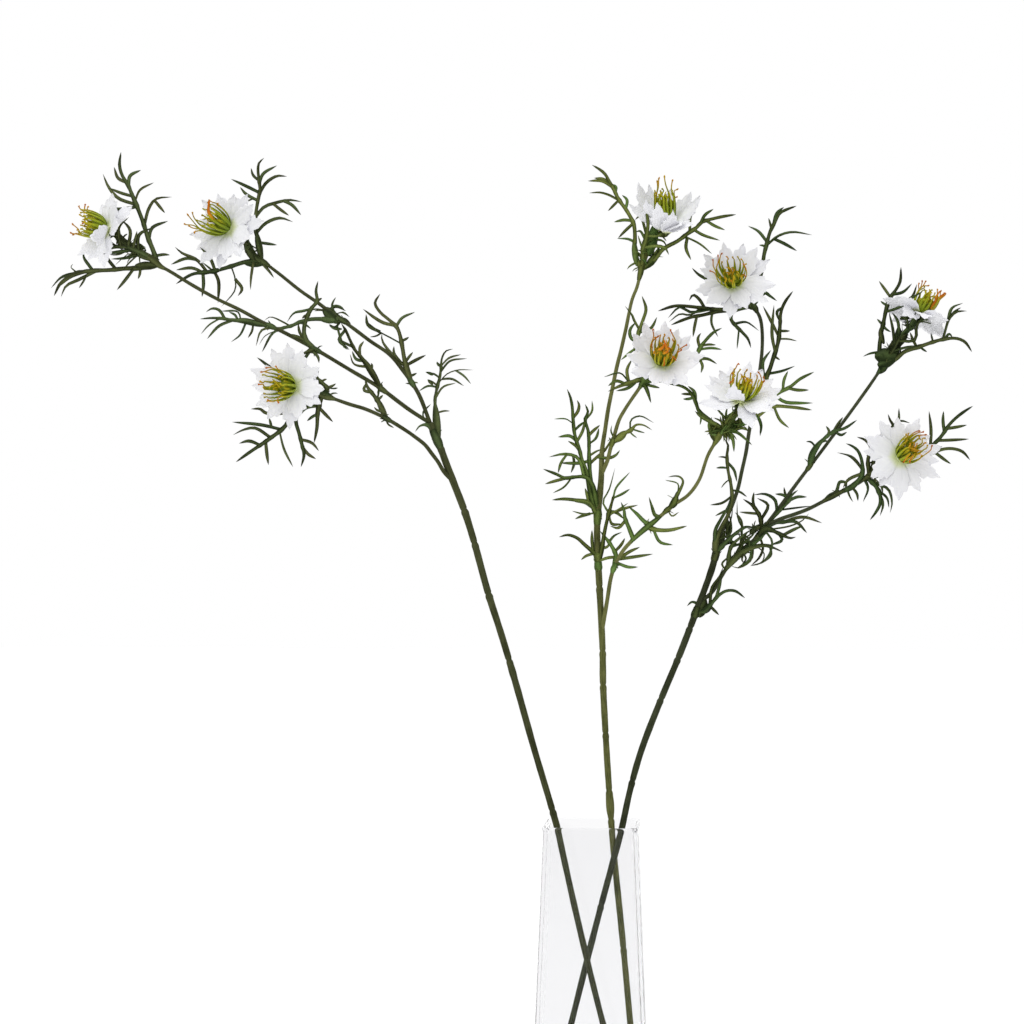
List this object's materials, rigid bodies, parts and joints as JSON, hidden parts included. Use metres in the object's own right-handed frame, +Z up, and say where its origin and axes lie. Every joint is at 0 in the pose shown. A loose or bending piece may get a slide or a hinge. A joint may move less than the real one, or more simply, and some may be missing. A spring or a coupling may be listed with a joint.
{
  "type": "love-in-a-mist sprays in a glass vase",
  "caption": "Branching love-in-a-mist sprays with white star flowers, thread-like green leaves and yellow-green stamens, standing in a tall tapered square clear glass vase.",
  "frame": {"origin": "middle of the flat underside of the vase, where it stands", "axes": "+Z up; X and Y are square to the vase's sides; the sprays spread widest along X and their flowers mostly face -Y"},
  "size_m": [0.6622, 0.2533, 0.7269],
  "materials": {
    "vase_glass": "clear polished glass",
    "left_stem": "dark olive green",
    "middle_stem": "yellowish olive green",
    "right_stem": "very dark green",
    "left_leaf": "dark green with paler ribs",
    "middle_leaf": "bright green with paler ribs",
    "right_leaf": "deep green with paler ribs",
    "petals": "white, faintly creased",
    "stamens": "yellow-green with golden and rust-coloured tips"
  },
  "bodies": {
    "root": {"vase": "vase_glass", "left_stem": "left_stem", "left_branch_1": "left_stem", "left_branch_2": "left_stem", "left_branch_3": "left_stem", "middle_stem": "middle_stem", "middle_branch_1": "middle_stem", "middle_branch_2": "middle_stem", "right_stem": "right_stem", "right_branch_1": "right_stem", "right_branch_2": "right_stem", "right_branch_3": "right_stem", "left_flower_1_petals": "petals", "left_flower_1_stamens": "stamens", "left_flower_2_petals": "petals", "left_flower_2_stamens": "stamens", "left_flower_3_petals": "petals", "left_flower_3_stamens": "stamens", "middle_flower_1_petals": "petals", "middle_flower_1_stamens": "stamens", "middle_flower_2_petals": "petals", "middle_flower_2_stamens": "stamens", "middle_flower_3_petals": "petals", "middle_flower_3_stamens": "stamens", "right_flower_1_petals": "petals", "right_flower_1_stamens": "stamens", "right_flower_2_petals": "petals", "right_flower_2_stamens": "stamens", "right_flower_3_petals": "petals", "right_flower_3_stamens": "stamens", "left_flower_1_frill": "left_leaf", "left_flower_2_frill": "left_leaf", "left_flower_3_frill": "left_leaf", "middle_flower_1_frill": "middle_leaf", "middle_flower_2_frill": "middle_leaf", "middle_flower_3_frill": "middle_leaf", "right_flower_1_frill": "right_leaf", "right_flower_2_frill": "right_leaf", "right_flower_3_frill": "right_leaf", "left_leaf_1": "left_leaf", "left_leaf_2": "left_leaf", "left_leaf_3": "left_leaf", "left_leaf_4": "left_leaf", "left_leaf_5": "left_leaf", "left_leaf_6": "left_leaf", "left_leaf_7": "left_leaf", "middle_leaf_1": "middle_leaf", "middle_leaf_2": "middle_leaf", "middle_leaf_3": "middle_leaf", "middle_leaf_4": "middle_leaf", "middle_leaf_5": "middle_leaf", "middle_leaf_6": "middle_leaf", "middle_leaf_7": "middle_leaf", "right_leaf_1": "right_leaf", "right_leaf_2": "right_leaf", "right_leaf_3": "right_leaf", "right_leaf_4": "right_leaf", "right_leaf_5": "right_leaf", "right_leaf_6": "right_leaf", "right_leaf_7": "right_leaf"}
  },
  "joints": []
}
